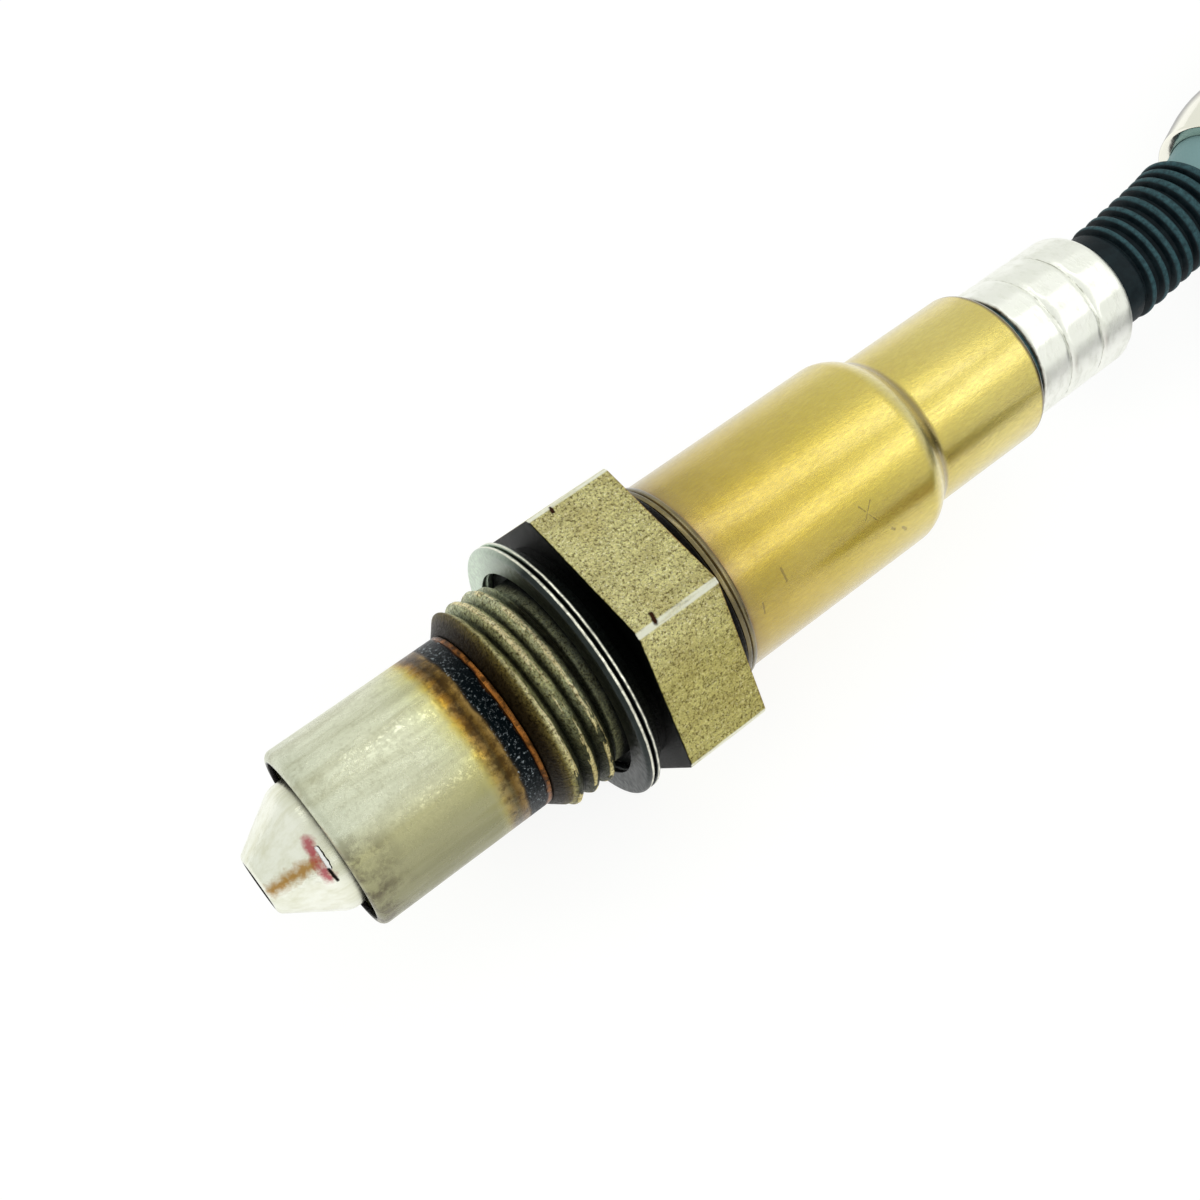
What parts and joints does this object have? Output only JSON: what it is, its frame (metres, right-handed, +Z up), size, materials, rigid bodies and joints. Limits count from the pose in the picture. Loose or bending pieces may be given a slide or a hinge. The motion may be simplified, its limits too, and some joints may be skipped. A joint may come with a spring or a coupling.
{
  "type": "exhaust oxygen sensor",
  "caption": "Screw-in exhaust oxygen sensor with a shielded nose, folded gasket, wrench hexagon, welded sleeve, crimped collar, ribbed boot and a coiled lead with a plug.",
  "frame": {"origin": "on the sensor's axis, at the middle of the mounting thread", "axes": "+X runs along the sensor's axis from the tip to the sleeve, -X is the way the tip points, and +Z is up as it lies on a flat of its hexagon"},
  "size_m": [0.1749, 0.075, 0.0226],
  "materials": {
    "nickel_steel": "blasted and heat stained",
    "gasket_steel": "worn and stained",
    "nose_steel": "satin with heat tint",
    "polished_nickel": "polished",
    "sleeve_steel": "satin gold tint",
    "collar_steel": "satin",
    "ferrule_chrome": "bright",
    "zirconia": "matt",
    "steatite": "matt",
    "talc": "pressed powder",
    "contact_metal": "satin",
    "fluoro_rubber": "matt",
    "boot_rubber": "matt",
    "lead_sheath": "matt",
    "tie_plastic": "matt",
    "plug_plastic": "matt",
    "latch_plastic": "matt",
    "plug_silicone": "matt",
    "wire_white": "matt",
    "wire_grey": "matt",
    "wire_black": "matt",
    "wire_red": "matt",
    "wire_yellow": "matt"
  },
  "bodies": {
    "root": {"sensor_shell": "nickel_steel", "folded_gasket": "gasket_steel", "outer_protection_tube": "nose_steel", "inner_protection_tube": "polished_nickel", "sensing_element": "zirconia", "front_ceramic_guide": "steatite", "talc_seal": "talc", "rear_ceramic_guide": "steatite", "holder_upper": "steatite", "holder_lower": "steatite", "holder_clamp": "sleeve_steel", "protection_sleeve": "sleeve_steel", "grommet": "fluoro_rubber", "crimp_collar": "collar_steel", "ribbed_boot": "boot_rubber", "hose_ferrule": "ferrule_chrome", "lead_upper": "lead_sheath", "lead_coil": "lead_sheath", "lead_tail": "lead_sheath", "coil_tie": "tie_plastic", "plug_housing": "plug_plastic", "plug_seal": "plug_silicone", "plug_latch": "latch_plastic", "plug_guard": "boot_rubber", "contact_spring_1": "contact_metal", "contact_spring_2": "contact_metal", "contact_spring_3": "contact_metal", "contact_spring_4": "contact_metal", "contact_spring_5": "contact_metal", "lead_wire_1": "wire_white", "lead_wire_2": "wire_grey", "lead_wire_3": "wire_black", "lead_wire_4": "wire_red", "lead_wire_5": "wire_yellow", "plug_terminal_1": "contact_metal", "plug_terminal_2": "contact_metal", "plug_terminal_3": "contact_metal", "plug_terminal_4": "contact_metal", "plug_terminal_5": "contact_metal", "plug_terminal_6": "contact_metal"}
  },
  "joints": []
}
